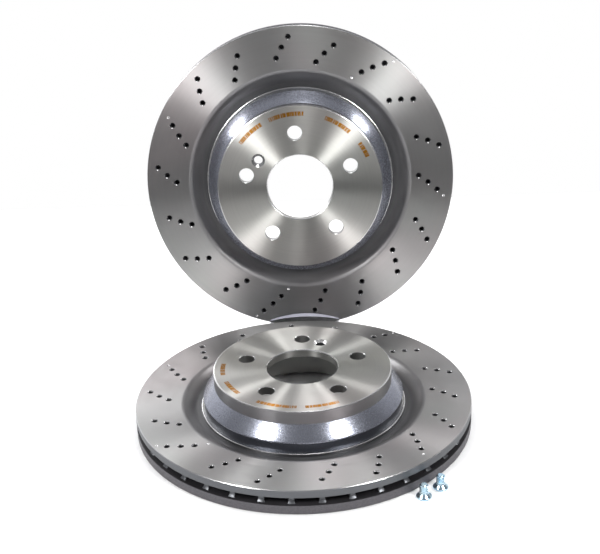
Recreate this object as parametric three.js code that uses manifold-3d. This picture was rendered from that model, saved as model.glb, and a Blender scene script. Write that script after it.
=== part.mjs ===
// Axle set of two ventilated, cross-drilled rear brake discs and their two countersunk securing screws.
// One disc lies flat on its inboard face. The other stands on edge behind it, leaning back a little, with its
// wheel face forwards. The screws stand on their heads at the front right of the lying disc.
// Millimetres, +Z up, +Y to the back. The origin is on the ground, in the middle of the set's footprint.

import * as THREE from 'three';
import { mergeVertices } from 'three/addons/utils/BufferGeometryUtils.js';
import Module from 'manifold-3d';

const wasm = await Module();
wasm.setup();

const DEGREE = Math.PI / 180;
const FULL_TURN = 2 * Math.PI;

// ---------------------------------------------------------------- driving dimensions
// In a disc's own frame Z is the axle, z = 0 is the outboard friction face and the wheel face is above it.

const DISC_RADIUS = 160;
const DISC_THICKNESS = 24;
const OUTBOARD_PLATE = 7.6;
const INBOARD_PLATE = 8.8;
const RIM_CHAMFER = 1.2;
const FRICTION_INNER_RADIUS = 114;
const INBOARD_INNER_RADIUS = 106;

const HAT_HEIGHT = 31.4;
const HAT_RADIUS = 84.4;
const HAT_WALL_HEIGHT = 12.6;
const HAT_TOP_THICKNESS = 8;
const SHOULDER_RADIUS = 95.7;
const SHOULDER_HEIGHT = 5.9;
const NECK_RADIUS = 94.6;
const LEDGE_RADIUS = 97.4;
const LEDGE_HEIGHT = -4.2;
const GROOVE_FLOOR = -7;
const GROOVE_FLOOR_RADIUS = 101;

const DRUM_RADIUS = 82;
const DRUM_TOP = 8;
const DRUM_WALL = 8.5;
const DRUM_RECESS = 2.5;
const CAVITY_RADIUS = 76;

const CENTRE_BORE_RADIUS = 33.5;
const EDGE_BREAK = 0.8;
const BOLT_COUNT = 5;
const BOLT_CIRCLE_RADIUS = 56;
const BOLT_HOLE_RADIUS = 7.6;
const SCREW_HOLE_ANGLE = -20.5 * DEGREE;
const SCREW_HOLE_CIRCLE_RADIUS = 50.6;
const SCREW_HOLE_RADIUS = 4.5;

const VANE_COUNT = 37;
const VANE_THICKNESS = 6;
const VANE_INNER_RADIUS = 107;
const VANE_OUTER_RADIUS = 157.5;
const VANE_ANGLE = 0.8 * DEGREE;

// Each drilled row slants counter-clockwise on its way in, and every second row sits half a step further in.
// The inboard plate is drilled the same way, half a row further round, so no hole can be looked through.
const ROW_COUNT = 18;
const HOLES_PER_ROW = 3;
const ROW_OUTER_RADIUS = 149;
const ROW_STEP = 10;
const ROW_TWIST = 0.31 * DEGREE;
const DRILL_RADIUS = 2.5;
const INBOARD_DRILLING = 10 * DEGREE;
const WEAR_PIT_RADIUS = 1.6;
const WEAR_PIT_DEPTH = 1;
const WEAR_PIT_OUTSIDE = 7.3;
const WEAR_PIT_INSIDE = 9.6;
const WEAR_ROWS = [0, 3, 8, 13];

const SCREW_HEAD_RADIUS = 6.9;
const SCREW_SHANK_RADIUS = 4;
const SCREW_LENGTH = 13;
const SCREW_HEAD_EDGE = 1.5;
const SCREW_CHAMFER = 0.8;
const SOCKET_RADIUS = 2.45;
const SOCKET_LOBE_DEPTH = 0.42;
const SOCKET_DEPTH = 2.6;

// How the set lies. Angles are seen from a disc's wheel face, counter-clockwise.
const LYING_SPIN = 90 * DEGREE;
const LYING_DRILLING = 124.6 * DEGREE;
const STANDING_SPIN = 165.9 * DEGREE;
const STANDING_DRILLING = 247.1 * DEGREE;
const STANDING_LEAN = 7.4 * DEGREE;
const STANDING_FOOT_RISE = 16.8;
const STANDING_SIDE_STEP = 2;
const RIM_GAP = 4;
const SCREW_SPOTS = [
  [102.7, -138.5],
  [118.5, -125.1],
];

// Facets of the round pieces, and how far a cutting tool or a joined piece runs past the face it meets.
const DISC_FACETS = 48;
const BOLT_HOLE_FACETS = 12;
const DRILL_FACETS = 6;
const SCREW_FACETS = 20;
const OVERRUN = 1;
const OVERLAP = 0.5;

// ---------------------------------------------------------------- solids

function solidOf(geometry) {
  const bare = geometry.clone();
  bare.deleteAttribute('normal');
  bare.deleteAttribute('uv');
  const merged = mergeVertices(bare, 1e-4);
  const corners = merged.index.array;
  const kept = [];
  for (let i = 0; i < corners.length; i += 3) {
    const [a, b, c] = corners.slice(i, i + 3);
    if (a !== b && b !== c && c !== a) kept.push(a, b, c);
  }
  return new wasm.Manifold(
    new wasm.Mesh({
      numProp: 3,
      vertProperties: merged.attributes.position.array,
      triVerts: new Uint32Array(kept),
    }),
  );
}

function meshOf(solid, name, material) {
  const { vertProperties, triVerts } = solid.getMesh();
  const geometry = new THREE.BufferGeometry();
  geometry.setAttribute('position', new THREE.BufferAttribute(vertProperties, 3));
  geometry.setIndex(new THREE.BufferAttribute(triVerts, 1));
  geometry.computeVertexNormals();
  const mesh = new THREE.Mesh(geometry, material);
  mesh.name = name;
  return mesh;
}

// Turns an outline of (radius, height) points round the Z axis. A clockwise outline is run the other way.
function turned(outline, facets) {
  const run = THREE.ShapeUtils.isClockWise(outline) ? outline.toReversed() : outline;
  return solidOf(new THREE.LatheGeometry(run, facets).rotateX(Math.PI / 2));
}

// A cone or cylinder along Z, from one height up to another.
function drill(lowRadius, highRadius, low, high, facets) {
  const cylinder = new THREE.CylinderGeometry(highRadius, lowRadius, high - low, facets);
  return solidOf(cylinder.rotateX(Math.PI / 2).translate(0, 0, (low + high) / 2));
}

function placedRound(solid, radius, angle) {
  return solid.translate([radius * Math.cos(angle), radius * Math.sin(angle), 0]);
}

// ---------------------------------------------------------------- disc

// The hat and the outboard friction plate: from the centre bore over the wheel face and down the outside to
// the rim, then back under the plate and up inside the parking-brake drum.
function hatAndOutboardPlate() {
  const drumEnd = DRUM_RECESS - DISC_THICKNESS;
  const drumOuter = DRUM_RADIUS + DRUM_WALL;
  const outline = new THREE.Path()
    .moveTo(CENTRE_BORE_RADIUS, HAT_HEIGHT - HAT_TOP_THICKNESS)
    .lineTo(CENTRE_BORE_RADIUS, HAT_HEIGHT - EDGE_BREAK)
    .lineTo(CENTRE_BORE_RADIUS + EDGE_BREAK, HAT_HEIGHT)
    .lineTo(HAT_RADIUS - EDGE_BREAK, HAT_HEIGHT)
    .lineTo(HAT_RADIUS, HAT_HEIGHT - EDGE_BREAK)
    .lineTo(HAT_RADIUS, HAT_HEIGHT - HAT_WALL_HEIGHT)
    .lineTo(SHOULDER_RADIUS, SHOULDER_HEIGHT)
    .lineTo(NECK_RADIUS, SHOULDER_HEIGHT - EDGE_BREAK)
    .lineTo(NECK_RADIUS, LEDGE_HEIGHT)
    .lineTo(LEDGE_RADIUS, LEDGE_HEIGHT)
    .lineTo(LEDGE_RADIUS, GROOVE_FLOOR)
    .lineTo(GROOVE_FLOOR_RADIUS, GROOVE_FLOOR)
    .quadraticCurveTo(GROOVE_FLOOR_RADIUS + 6, GROOVE_FLOOR, FRICTION_INNER_RADIUS, 0)
    .lineTo(DISC_RADIUS - RIM_CHAMFER, 0)
    .lineTo(DISC_RADIUS, -RIM_CHAMFER)
    .lineTo(DISC_RADIUS, -OUTBOARD_PLATE)
    .lineTo(FRICTION_INNER_RADIUS + 4, -OUTBOARD_PLATE)
    .quadraticCurveTo(INBOARD_INNER_RADIUS, -OUTBOARD_PLATE, LEDGE_RADIUS, -13.5)
    .lineTo(drumOuter, -15.5)
    .lineTo(drumOuter, drumEnd)
    .lineTo(DRUM_RADIUS + EDGE_BREAK, drumEnd)
    .lineTo(DRUM_RADIUS, drumEnd + EDGE_BREAK)
    .lineTo(DRUM_RADIUS, DRUM_TOP)
    .lineTo(CAVITY_RADIUS, DRUM_TOP + CAVITY_RADIUS / 10)
    .lineTo(CAVITY_RADIUS, HAT_HEIGHT - HAT_TOP_THICKNESS)
    .closePath();
  return turned(outline.getPoints(3), DISC_FACETS);
}

function inboardPlate() {
  const outline = new THREE.Path()
    .moveTo(INBOARD_INNER_RADIUS, -DISC_THICKNESS + RIM_CHAMFER)
    .lineTo(INBOARD_INNER_RADIUS, INBOARD_PLATE - DISC_THICKNESS)
    .lineTo(DISC_RADIUS, INBOARD_PLATE - DISC_THICKNESS)
    .lineTo(DISC_RADIUS, RIM_CHAMFER - DISC_THICKNESS)
    .lineTo(DISC_RADIUS - RIM_CHAMFER, -DISC_THICKNESS)
    .lineTo(INBOARD_INNER_RADIUS + RIM_CHAMFER, -DISC_THICKNESS)
    .closePath();
  return turned(outline.getPoints(), DISC_FACETS);
}

// The straight cooling vanes that carry the inboard plate.
function vanes() {
  const length = VANE_OUTER_RADIUS - VANE_INNER_RADIUS;
  const gap = DISC_THICKNESS - OUTBOARD_PLATE - INBOARD_PLATE;
  const bar = new THREE.BoxGeometry(length, VANE_THICKNESS, gap + 2 * OVERLAP);
  bar.translate(VANE_INNER_RADIUS + length / 2, 0, -OUTBOARD_PLATE - gap / 2);
  const one = solidOf(bar.rotateZ(VANE_ANGLE));
  const all = [];
  for (let i = 0; i < VANE_COUNT; i++) all.push(one.rotate([0, 0, (i * 360) / VANE_COUNT]));
  return wasm.Manifold.union(all);
}

// A drilled row's turn at a radius, from where the first row starts.
function twistAt(radius) {
  return (ROW_OUTER_RADIUS - radius) * ROW_TWIST;
}

// Every drilled hole, and the shallow wear pits beyond the ends of four rows.
function frictionDrilling() {
  const channel = (OUTBOARD_PLATE + DISC_THICKNESS - INBOARD_PLATE) / 2;
  const outboard = drill(DRILL_RADIUS, DRILL_RADIUS, OVERRUN / 2 - channel, OVERRUN, DRILL_FACETS);
  const low = -DISC_THICKNESS - OVERRUN;
  const inboard = drill(DRILL_RADIUS, DRILL_RADIUS, low, -channel - OVERRUN / 2, DRILL_FACETS);
  const pit = drill(0.2, WEAR_PIT_RADIUS * 2, -WEAR_PIT_DEPTH, WEAR_PIT_DEPTH, DRILL_FACETS);
  const cuts = [];
  for (let row = 0; row < ROW_COUNT; row++) {
    const outer = ROW_OUTER_RADIUS - (row % 2) * (ROW_STEP / 2);
    const start = -(row * FULL_TURN) / ROW_COUNT;
    const along = (tool, radius) => placedRound(tool, radius, start + twistAt(radius));
    for (let hole = 0; hole < HOLES_PER_ROW; hole++) {
      const radius = outer - hole * ROW_STEP;
      cuts.push(along(outboard, radius));
      cuts.push(placedRound(inboard, radius, start + twistAt(radius) + INBOARD_DRILLING));
    }
    if (!WEAR_ROWS.includes(row)) continue;
    cuts.push(along(pit, outer + WEAR_PIT_OUTSIDE));
    const inner = outer - (HOLES_PER_ROW - 1) * ROW_STEP - WEAR_PIT_INSIDE;
    if (row % 2 === 0) cuts.push(along(pit, inner));
  }
  return wasm.Manifold.union(cuts);
}

// Wheel-bolt holes and the countersunk hole of the securing screw, through the top of the hat.
function hatDrilling() {
  const low = HAT_HEIGHT - HAT_TOP_THICKNESS - OVERRUN;
  const high = HAT_HEIGHT + OVERRUN;
  const bolt = drill(BOLT_HOLE_RADIUS, BOLT_HOLE_RADIUS, low, high, BOLT_HOLE_FACETS);
  const cuts = [];
  for (let i = 0; i < BOLT_COUNT; i++) {
    cuts.push(placedRound(bolt, BOLT_CIRCLE_RADIUS, (i * FULL_TURN) / BOLT_COUNT));
  }
  const sinkDepth = SCREW_HEAD_RADIUS - SCREW_HOLE_RADIUS;
  const hole = drill(SCREW_HOLE_RADIUS, SCREW_HOLE_RADIUS, low, high, BOLT_HOLE_FACETS);
  const sink = drill(
    SCREW_HOLE_RADIUS,
    SCREW_HEAD_RADIUS + OVERRUN,
    HAT_HEIGHT - sinkDepth,
    HAT_HEIGHT + OVERRUN,
    BOLT_HOLE_FACETS,
  );
  cuts.push(placedRound(hole.add(sink), SCREW_HOLE_CIRCLE_RADIUS, SCREW_HOLE_ANGLE));
  return wasm.Manifold.union(cuts);
}

// One casting. The drilling angle is from the first wheel-bolt hole to the first drilled row.
function brakeDisc(name, drillingAngle) {
  const casting = hatAndOutboardPlate().add(inboardPlate()).add(vanes());
  const rows = frictionDrilling().rotate([0, 0, drillingAngle / DEGREE]);
  const machined = casting.subtract(rows).subtract(hatDrilling());
  const iron = new THREE.MeshStandardMaterial({ color: 0x9b9996, roughness: 0.38, metalness: 1 });
  return meshOf(machined, name, iron);
}

// ---------------------------------------------------------------- securing screw

// A star outline with six lobes, for the socket in the screw's head.
function socketOutline() {
  const points = [];
  const steps = 24;
  for (let i = 0; i < steps; i++) {
    const angle = (i * FULL_TURN) / steps;
    const radius = SOCKET_RADIUS + SOCKET_LOBE_DEPTH * Math.cos(6 * angle);
    points.push(new THREE.Vector2(radius * Math.cos(angle), radius * Math.sin(angle)));
  }
  return new THREE.Shape(points);
}

// The screw stands on its head, with the flat of the head at z = 0 and the thread upwards.
function securingScrew(name) {
  const coneTop = SCREW_HEAD_EDGE + SCREW_HEAD_RADIUS - SCREW_SHANK_RADIUS;
  const outline = new THREE.Path()
    .moveTo(0, 0)
    .lineTo(SCREW_HEAD_RADIUS - SCREW_CHAMFER / 2, 0)
    .lineTo(SCREW_HEAD_RADIUS, SCREW_CHAMFER / 2)
    .lineTo(SCREW_HEAD_RADIUS, SCREW_HEAD_EDGE)
    .lineTo(SCREW_SHANK_RADIUS, coneTop)
    .lineTo(SCREW_SHANK_RADIUS, SCREW_LENGTH - SCREW_CHAMFER)
    .lineTo(SCREW_SHANK_RADIUS - SCREW_CHAMFER, SCREW_LENGTH)
    .lineTo(0, SCREW_LENGTH);
  const socket = new THREE.ExtrudeGeometry(socketOutline(), {
    depth: SOCKET_DEPTH + OVERRUN,
    bevelEnabled: false,
  }).translate(0, 0, -OVERRUN);
  const solid = turned(outline.getPoints(), SCREW_FACETS).subtract(solidOf(socket));
  const zinc = new THREE.MeshStandardMaterial({ color: 0xc7d3dd, roughness: 0.3, metalness: 1 });
  return meshOf(solid, name, zinc);
}

// ---------------------------------------------------------------- the set

function lyingDisc() {
  const disc = brakeDisc('lying_disc', LYING_DRILLING);
  disc.rotation.z = LYING_SPIN;
  disc.position.z = DISC_THICKNESS;
  return disc;
}

// Spun about its own axle, stood up with the wheel face to the front, then leant back over its lower edge.
function standingDisc() {
  const disc = brakeDisc('standing_disc', STANDING_DRILLING);
  disc.rotation.z = STANDING_SPIN;
  const lean = new THREE.Group();
  lean.add(disc);
  lean.rotation.x = Math.PI / 2 - STANDING_LEAN;
  const reach = DISC_RADIUS * Math.sin(STANDING_LEAN);
  const rise = DISC_RADIUS * Math.cos(STANDING_LEAN);
  lean.position.set(STANDING_SIDE_STEP, DISC_RADIUS + RIM_GAP + reach, STANDING_FOOT_RISE + rise);
  return lean;
}

const set = new THREE.Group();
set.add(lyingDisc(), standingDisc());
for (const [i, [x, y]] of SCREW_SPOTS.entries()) {
  const screw = securingScrew(`securing_screw_${i + 1}`);
  screw.position.set(x, y, 0);
  set.add(screw);
}

const footprint = new THREE.Box3().setFromObject(set, true);
const middle = footprint.getCenter(new THREE.Vector3());
set.position.set(-middle.x, -middle.y, -footprint.min.z);

export default set;
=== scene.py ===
"""A set of two ventilated, cross-drilled brake discs and the two screws that secure them.

One disc lies flat with its wheel face up. The other stands on edge behind it and leans back. Both are the same
grey-iron casting: a hat, an outboard plate, straight cooling vanes and an inboard plate. Sizes are in
millimetres until a finished mesh is put in its place in metres.
"""

import logging
import math
from dataclasses import dataclass
from enum import Enum
from typing import Sequence

import bmesh
import bpy
from mathutils import Matrix, Vector

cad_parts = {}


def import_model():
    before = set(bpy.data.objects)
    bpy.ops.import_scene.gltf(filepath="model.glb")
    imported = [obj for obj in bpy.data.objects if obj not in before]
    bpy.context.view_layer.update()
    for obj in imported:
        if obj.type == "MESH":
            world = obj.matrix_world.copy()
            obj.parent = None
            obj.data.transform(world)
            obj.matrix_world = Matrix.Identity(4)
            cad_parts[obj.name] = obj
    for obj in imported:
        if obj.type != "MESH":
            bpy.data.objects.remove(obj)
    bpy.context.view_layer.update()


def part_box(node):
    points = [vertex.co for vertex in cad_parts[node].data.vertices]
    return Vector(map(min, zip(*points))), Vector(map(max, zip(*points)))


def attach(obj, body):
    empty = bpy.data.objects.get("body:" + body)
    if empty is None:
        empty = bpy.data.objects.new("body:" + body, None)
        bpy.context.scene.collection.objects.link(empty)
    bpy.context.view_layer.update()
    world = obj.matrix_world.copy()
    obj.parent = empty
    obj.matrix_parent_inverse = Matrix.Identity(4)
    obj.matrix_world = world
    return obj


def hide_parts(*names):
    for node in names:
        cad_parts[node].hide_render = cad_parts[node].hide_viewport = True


MM = 0.001
LOG = logging.getLogger("brake_disc_set")

Colour = tuple[float, float, float, float]
Point = tuple[float, float]


# ---------------------------------------------------------------- what goes where


class Zone(Enum):
    """The differently finished surfaces of a disc, numbered as its material slots."""

    TRACK = 0
    HAT_TOP = 1
    BRIGHT_EDGE = 2
    HAT_SIDE = 3
    COATING = 4
    GROOVE = 5
    OUTBOARD_RIM = 6
    INBOARD_RIM = 7
    CASTING = 8
    HUB_FACE = 9
    DRUM = 10
    DRILLED_SHADE = 11
    VENT_SHADE = 12
    NECK_SHADE = 13
    SINK = 14


@dataclass(frozen=True)
class Placement:
    """Where a disc is, and how it is turned about its axle.

    A disc's own frame has its axle on Z and its outboard friction face at zero. Its tilt lifts the wheel face off
    the level. The spin places the bolt holes and the drilling the first drilled row, both in degrees round the
    axle. The etching gives the first and last angle of each row of ticks.
    """

    name: str
    node: str
    centre: tuple[float, float, float]
    tilt: float
    spin: float
    drilling: float
    etching: tuple[tuple[float, float], ...]

    def turn(self) -> Matrix:
        """Returns the rotation from the disc's own axes to the row's, without the spin."""
        return Matrix.Rotation(math.radians(self.tilt), 4, "X")

    def matrix(self) -> Matrix:
        """Returns the move from a mesh in millimetres to its place in metres, without the spin."""
        return Matrix.Translation(Vector(self.centre) * MM) @ self.turn() @ Matrix.Scale(MM, 4)


@dataclass(frozen=True)
class Station:
    """A corner of a turned outline, and the zone of the surface that runs on from it."""

    radius: float
    height: float
    zone: Zone


# ---------------------------------------------------------------- shader graphs


class Graph:
    """A node tree while it is being wired."""

    def __init__(self, tree: bpy.types.NodeTree) -> None:
        """Starts from an empty tree.

        Args:
            tree: the node tree, whose nodes are removed.
        """
        self.tree = tree
        tree.nodes.clear()

    def node(self, kind: str, inputs: dict | None = None, **settings: object) -> bpy.types.Node:
        """Adds a node.

        Args:
            kind: its type, without the leading "ShaderNode" unless it is a group's entry or exit.
            inputs: values or sockets for its inputs, by name or number.
            settings: its properties.

        Returns:
            The node.
        """
        made = self.tree.nodes.new(kind if kind.startswith("NodeGroup") else "ShaderNode" + kind)
        for key, value in settings.items():
            setattr(made, key, value)
        self.feed(made, inputs or {})
        return made

    def feed(self, node: bpy.types.Node, inputs: dict) -> None:
        """Fills a node's inputs, each from a socket or with a constant.

        Args:
            node: the node.
            inputs: values or sockets by name or number.
        """
        for key, value in inputs.items():
            if isinstance(value, bpy.types.NodeSocket):
                self.tree.links.new(value, node.inputs[key])
            else:
                node.inputs[key].default_value = value

    def math(self, operation: str, *operands: object) -> bpy.types.NodeSocket:
        """Adds a Math node and returns its output."""
        return self.node("Math", dict(enumerate(operands)), operation=operation).outputs[0]

    def vector(self, operation: str, *operands: object) -> bpy.types.NodeSocket:
        """Adds a Vector Math node and returns its vector output."""
        return self.node("VectorMath", dict(enumerate(operands)), operation=operation).outputs[0]

    def product(self, *factors: object) -> bpy.types.NodeSocket:
        """Multiplies numbers.

        Args:
            factors: two or more values or sockets.

        Returns:
            Their product.
        """
        total = factors[0]
        for factor in factors[1:]:
            total = self.math("MULTIPLY", total, factor)
        return total

    def noise(
        self, place: object, scale: object, detail: float = 2, roughness: float = 0.5
    ) -> bpy.types.NodeSocket:
        """Adds a noise over the surface.

        Args:
            place: the position that it is read at.
            scale: its waves to the metre.
            detail: how many finer layers it has.
            roughness: how strong the finer layers are.

        Returns:
            Its value.
        """
        inputs = {"Vector": place, "Scale": scale, "Detail": detail, "Roughness": roughness}
        return self.node("TexNoise", inputs).outputs["Fac"]

    def noise_along(
        self, place: object, scale: float, detail: float = 2, roughness: float = 0.5
    ) -> bpy.types.NodeSocket:
        """Adds a noise along a single number.

        Args:
            place: the number that it is read at.
            scale: its waves to one unit of the number.
            detail: how many finer layers it has.
            roughness: how strong the finer layers are.

        Returns:
            Its value.
        """
        inputs = {"W": place, "Scale": scale, "Detail": detail, "Roughness": roughness}
        return self.node("TexNoise", inputs, noise_dimensions="1D").outputs["Fac"]

    def radius(self, position: bpy.types.NodeSocket) -> bpy.types.NodeSocket:
        """Measures how far a position is from the Z axis.

        Args:
            position: the position in metres.

        Returns:
            The distance in millimetres.
        """
        flat = self.vector("MULTIPLY", position, (1, 1, 0))
        length = self.node("VectorMath", {0: flat}, operation="LENGTH").outputs["Value"]
        return self.math("MULTIPLY", length, 1 / MM)

    def bump(self, height: bpy.types.NodeSocket, strength: float, distance: float) -> bpy.types.NodeSocket:
        """Turns a height into a normal.

        Args:
            height: the height, from 0 to 1.
            strength: how much of it shows.
            distance: what a height of 1 measures, in metres.

        Returns:
            The normal.
        """
        return self.node("Bump", {"Height": height, "Strength": strength, "Distance": distance}).outputs[0]

    def shaded(self, colour: object, shade: bpy.types.NodeSocket) -> bpy.types.NodeSocket:
        """Multiplies a colour by a grey level.

        Args:
            colour: the colour.
            shade: the level, where 1 leaves the colour as it is.

        Returns:
            The shaded colour.
        """
        level = self.node("CombineColor", {0: shade, 1: shade, 2: shade})
        return self.blend(1.0, colour, level.outputs[0], "MULTIPLY")

    def blend(self, factor: object, first: object, second: object, mode: str = "MIX") -> bpy.types.NodeSocket:
        """Mixes two colours.

        Args:
            factor: how much of the second colour shows.
            first: the colour at factor 0.
            second: the colour at factor 1.
            mode: the Mix node's blend type.

        Returns:
            The mixed colour.
        """
        made = self.node("Mix", {0: factor, 6: first, 7: second}, data_type="RGBA", blend_type=mode)
        return made.outputs[2]

    def span(
        self, value: object, low: float, high: float, from_low: float = 0, from_high: float = 1
    ) -> bpy.types.NodeSocket:
        """Maps a value from one range to another, and holds it at the ends.

        Args:
            value: the value.
            low: what the start of its range becomes.
            high: what the end of its range becomes.
            from_low: the start of its range.
            from_high: the end of its range.

        Returns:
            The mapped value.
        """
        ends = {"From Min": from_low, "From Max": from_high, "To Min": low, "To Max": high}
        return self.node("MapRange", {"Value": value, **ends}).outputs[0]


class Effect:
    """A shader node group that several finishes share, built the first time that it is placed."""

    name = ""
    takes: tuple[tuple[str, str, object], ...] = ()
    gives: tuple[tuple[str, str], ...] = ()

    def wire(self, graph: Graph, entry: bpy.types.Node, end: bpy.types.Node) -> None:
        """Wires the group from its entry node to its end node."""
        raise NotImplementedError

    def tree(self) -> bpy.types.NodeTree:
        """Finds the group's tree, and makes it if it isn't there yet.

        Returns:
            The tree.
        """
        made = bpy.data.node_groups.get(self.name)
        if made:
            return made
        made = bpy.data.node_groups.new(self.name, "ShaderNodeTree")
        for label, kind, default in self.takes:
            socket = made.interface.new_socket(label, in_out="INPUT", socket_type=kind)
            if default is not None:
                socket.default_value = default
        for label, kind in self.gives:
            made.interface.new_socket(label, in_out="OUTPUT", socket_type=kind)
        graph = Graph(made)
        self.wire(graph, graph.node("NodeGroupInput"), graph.node("NodeGroupOutput"))
        return made

    def place(self, graph: Graph, **inputs: object) -> bpy.types.Node:
        """Places the group in a material.

        Args:
            graph: the material's graph.
            inputs: values or sockets by input name, with _ for a space.

        Returns:
            The group node.
        """
        made = graph.node("Group", node_tree=self.tree())
        graph.feed(made, {key.replace("_", " "): value for key, value in inputs.items()})
        return made


FLOAT = "NodeSocketFloat"
VECTOR = "NodeSocketVector"
COLOUR = "NodeSocketColor"


class LatheLines(Effect):
    """Fine concentric lines left by a turning tool or a grinding stone."""

    name = "lathe_lines"
    takes = (("Position", VECTOR, None), ("Spacing", FLOAT, 0.3), ("Waver", FLOAT, 0.2))
    gives = (("Height", FLOAT), ("Shade", FLOAT))

    def wire(self, graph: Graph, entry: bpy.types.Node, end: bpy.types.Node) -> None:
        """Wires noise that varies with the radius and wanders a little on the way round.

        Args:
            graph: the group's graph.
            entry: the node that holds the group's inputs.
            end: the node that takes its outputs.
        """
        position = entry.outputs["Position"]
        wander = graph.product(graph.noise(position, 18), entry.outputs["Waver"])
        along = graph.math("DIVIDE", graph.math("ADD", graph.radius(position), wander), entry.outputs["Spacing"])
        fine = graph.noise_along(along, 1, 3, 0.7)
        broad = graph.noise_along(along, 0.17)
        shade = graph.math("ADD", graph.product(fine, 0.45), graph.product(broad, 0.55))
        graph.feed(end, {"Height": fine, "Shade": shade})


class RadialFade(Effect):
    """A mask that rises from one radius to another."""

    name = "radial_fade"
    takes = (("Position", VECTOR, None), ("Inner", FLOAT, 100.0), ("Outer", FLOAT, 110.0))
    gives = (("Mask", FLOAT),)

    def wire(self, graph: Graph, entry: bpy.types.Node, end: bpy.types.Node) -> None:
        """Wires the radius in millimetres through a smooth step.

        Args:
            graph: the group's graph.
            entry: the node that holds the group's inputs.
            end: the node that takes its outputs.
        """
        radius = graph.radius(entry.outputs["Position"])
        ends = {"From Min": entry.outputs["Inner"], "From Max": entry.outputs["Outer"]}
        step = graph.node("MapRange", {"Value": radius, **ends}, interpolation_type="SMOOTHSTEP")
        graph.feed(end, {"Mask": step.outputs[0]})


class TemperTint(Effect):
    """Slow drifts of colour over bare metal, from oil and handling."""

    name = "temper_tint"
    takes = (
        ("Position", VECTOR, None),
        ("Base", COLOUR, (0.6, 0.6, 0.6, 1)),
        ("Warm", COLOUR, (0.65, 0.58, 0.6, 1)),
        ("Cool", COLOUR, (0.58, 0.62, 0.58, 1)),
        ("Amount", FLOAT, 0.5),
    )
    gives = (("Color", COLOUR), ("Smudge", FLOAT))

    def wire(self, graph: Graph, entry: bpy.types.Node, end: bpy.types.Node) -> None:
        """Wires two broad noises, one towards each tint, and a finer one for smudges.

        Args:
            graph: the group's graph.
            entry: the node that holds the group's inputs.
            end: the node that takes its outputs.
        """
        position = entry.outputs["Position"]
        moved = graph.vector("ADD", position, (0.37, 0.81, 0.15))
        colour = entry.outputs["Base"]
        for field, tint in ((graph.noise(position, 7), "Warm"), (graph.noise(moved, 6), "Cool")):
            amount = graph.product(graph.span(field, 0, 1, 0.45, 0.7), entry.outputs["Amount"])
            colour = graph.blend(amount, colour, entry.outputs[tint])
        graph.feed(end, {"Color": colour, "Smudge": graph.noise(position, 32, 4, 0.6)})


class CastSkin(Effect):
    """The sandy skin of grey iron as it was poured, with pits."""

    name = "cast_skin"
    takes = (("Position", VECTOR, None), ("Grain", FLOAT, 0.6), ("Pitting", FLOAT, 0.5))
    gives = (("Height", FLOAT), ("Shade", FLOAT))

    def wire(self, graph: Graph, entry: bpy.types.Node, end: bpy.types.Node) -> None:
        """Wires grain noise with pits cut into it.

        Args:
            graph: the group's graph.
            entry: the node that holds the group's inputs.
            end: the node that takes its outputs.
        """
        position = entry.outputs["Position"]
        scale = graph.math("DIVIDE", 1 / MM, entry.outputs["Grain"])
        grain = graph.noise(position, scale, 4, 0.65)
        pits = graph.node("TexVoronoi", {"Vector": position, "Scale": graph.product(scale, 0.3)})
        depth = graph.product(graph.span(pits.outputs["Distance"], 1, 0, 0.1, 0.45), entry.outputs["Pitting"])
        blotch = graph.noise(position, 45, 3)
        shade = graph.math("ADD", graph.product(grain, 0.4), graph.product(blotch, 0.6))
        graph.feed(end, {"Height": graph.math("SUBTRACT", grain, depth), "Shade": shade})


class ZincFlakes(Effect):
    """The metal flakes in an anti-corrosion coating."""

    name = "zinc_flakes"
    takes = (("Position", VECTOR, None), ("Size", FLOAT, 0.8))
    gives = (("Height", FLOAT), ("Shade", FLOAT))

    def wire(self, graph: Graph, entry: bpy.types.Node, end: bpy.types.Node) -> None:
        """Wires one random value for each flake, over the slow roll of a dipped coat.

        Args:
            graph: the group's graph.
            entry: the node that holds the group's inputs.
            end: the node that takes its outputs.
        """
        position = entry.outputs["Position"]
        scale = graph.math("DIVIDE", 1 / MM, entry.outputs["Size"])
        flakes = graph.node("TexVoronoi", {"Vector": position, "Scale": scale, "Randomness": 1})
        split = graph.node("SeparateColor", {"Color": flakes.outputs["Color"]})
        roll = graph.noise(position, 260)
        height = graph.math("ADD", graph.product(split.outputs[1], 0.35), graph.product(roll, 0.65))
        graph.feed(end, {"Height": height, "Shade": split.outputs[0]})


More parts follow.
